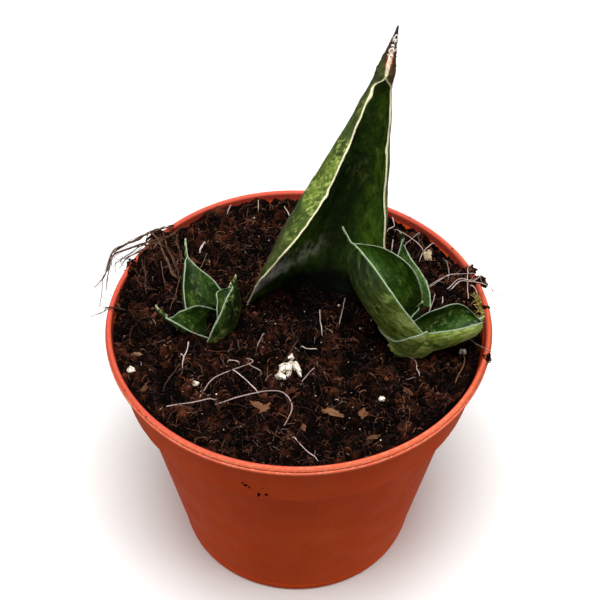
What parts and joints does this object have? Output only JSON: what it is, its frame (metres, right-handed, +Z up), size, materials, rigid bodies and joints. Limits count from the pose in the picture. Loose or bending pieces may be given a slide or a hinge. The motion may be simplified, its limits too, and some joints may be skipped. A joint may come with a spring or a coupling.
{
  "type": "potted snake plant",
  "caption": "Young snake plant with one tall rolled leaf and two small pups, rooted in dark potting mix in a round tapered nursery pot.",
  "frame": {"origin": "middle of the pot's foot, on the surface that the pot stands on", "axes": "+Z up, -Y the front that the tall leaf's channel faces, +X to the right seen from the front"},
  "size_m": [0.1297, 0.12, 0.1813],
  "materials": {
    "pot_plastic": "satin",
    "soil": "matte",
    "root": "matte",
    "tall_leaf": "satin",
    "pup_leaf": "satin",
    "perlite": "matte"
  },
  "bodies": {
    "root": {"pot": "pot_plastic", "soil": "soil", "rhizome": "root", "main_leaf": "tall_leaf", "right_pup_leaf_side": "pup_leaf", "right_pup_leaf_outer": "pup_leaf", "right_pup_leaf_back": "pup_leaf", "right_pup_leaf_inner": "pup_leaf", "left_pup_leaf_right": "pup_leaf", "left_pup_leaf_back": "pup_leaf", "left_pup_leaf_low": "pup_leaf", "left_pup_leaf_inner": "pup_leaf", "roots_over_rim_left": "root", "roots_over_rim_right": "root", "perlite_1": "perlite", "perlite_2": "perlite", "perlite_3": "perlite", "perlite_4": "perlite", "perlite_5": "perlite", "perlite_6": "perlite", "perlite_7": "perlite"}
  },
  "joints": []
}
